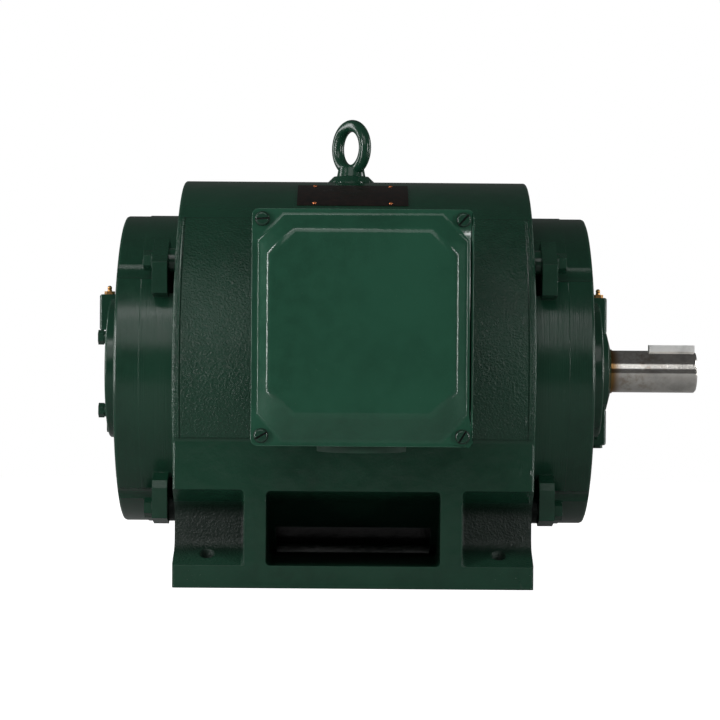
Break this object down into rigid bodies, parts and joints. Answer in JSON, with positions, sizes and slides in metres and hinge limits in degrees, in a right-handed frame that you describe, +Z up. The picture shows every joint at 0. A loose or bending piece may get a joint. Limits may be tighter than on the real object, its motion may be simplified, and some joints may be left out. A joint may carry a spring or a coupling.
{
  "type": "electric motor",
  "caption": "Foot-mounted open drip-proof induction motor with cast frame, end brackets, side conduit box, lifting eye, keyed shaft and a rotor that turns on ball bearings.",
  "frame": {"origin": "centre of the four foot holes, on the plane under the feet", "axes": "+X along the shaft towards the driven load, +Z up, -Y towards the conduit box"},
  "size_m": [0.6773, 0.5516, 0.5131],
  "materials": {
    "green_enamel": "gloss",
    "green_fastener": "gloss",
    "bare_casting": "matte",
    "nameplate_dark": "satin",
    "pin_copper": "satin",
    "shaft_steel": "satin",
    "key_steel": "satin",
    "bearing_chrome": "polished",
    "pressed_steel": "satin",
    "spring_steel": "satin",
    "zinc_steel": "satin",
    "lamination_steel": "satin",
    "rotor_aluminium": "satin",
    "winding_varnish": "gloss",
    "lead_insulation": "matte",
    "lug_brass": "satin",
    "fitting_brass": "satin",
    "seal_rubber": "matte",
    "gasket_rubber": "matte",
    "baffle_paint": "satin"
  },
  "bodies": {
    "housing": {"conduit_box": "green_enamel", "conduit_box_bolts": "zinc_steel", "conduit_box_cover": "green_enamel", "conduit_box_gasket": "gasket_rubber", "cover_gasket": "gasket_rubber", "cover_screws": "green_fastener", "drive_air_baffle": "baffle_paint", "drive_bearing_cap": "green_enamel", "drive_bearing_outer_ring": "bearing_chrome", "drive_bracket": "green_enamel", "drive_bracket_bolts": "green_fastener", "drive_bracket_lock_washers": "green_fastener", "drive_cap_screws": "green_fastener", "drive_grease_fitting": "fitting_brass", "drive_inner_bearing_cap": "bare_casting", "drive_relief_plug": "green_fastener", "frame_housing": "green_enamel", "ground_screw": "zinc_steel", "lead_lugs": "lug_brass", "lifting_eyebolt": "green_enamel", "motor_leads": "lead_insulation", "nameplate": "nameplate_dark", "nameplate_pins": "pin_copper", "rear_air_baffle": "baffle_paint", "rear_bearing_cap": "green_enamel", "rear_bearing_outer_ring": "bearing_chrome", "rear_bracket": "green_enamel", "rear_bracket_bolts": "green_fastener", "rear_bracket_lock_washers": "green_fastener", "rear_cap_screws": "green_fastener", "rear_grease_fitting": "fitting_brass", "rear_inner_bearing_cap": "bare_casting", "rear_preload_spring": "spring_steel", "rear_relief_plug": "green_fastener", "shaft_seal": "seal_rubber", "stator_core": "lamination_steel", "stator_windings": "winding_varnish"},
    "rotor": {"rotor_core": "lamination_steel", "rotor_end_rings": "rotor_aluminium", "shaft": "shaft_steel", "shaft_key": "key_steel", "drive_bearing_inner_ring": "bearing_chrome", "rear_bearing_inner_ring": "bearing_chrome", "rear_snap_ring": "spring_steel"},
    "drive_ball_set": {"drive_bearing_balls": "bearing_chrome", "drive_bearing_cage": "pressed_steel"},
    "rear_ball_set": {"rear_bearing_balls": "bearing_chrome", "rear_bearing_cage": "pressed_steel"}
  },
  "joints": [
    {"name": "rotor_spin", "type": "hinge", "parent": "housing", "child": "rotor", "pos_m": [0, 0, 0.2286], "axis": [1, 0, 0], "continuous": true},
    {"name": "drive_cage_spin", "type": "hinge", "parent": "housing", "child": "drive_ball_set", "pos_m": [0, 0, 0.2286], "axis": [1, 0, 0], "continuous": true},
    {"name": "rear_cage_spin", "type": "hinge", "parent": "housing", "child": "rear_ball_set", "pos_m": [0, 0, 0.2286], "axis": [1, 0, 0], "continuous": true}
  ],
  "couplings": [
    {"joint": "drive_cage_spin", "follows": "rotor_spin", "ratio": 0.40973},
    {"joint": "rear_cage_spin", "follows": "rotor_spin", "ratio": 0.38229}
  ]
}
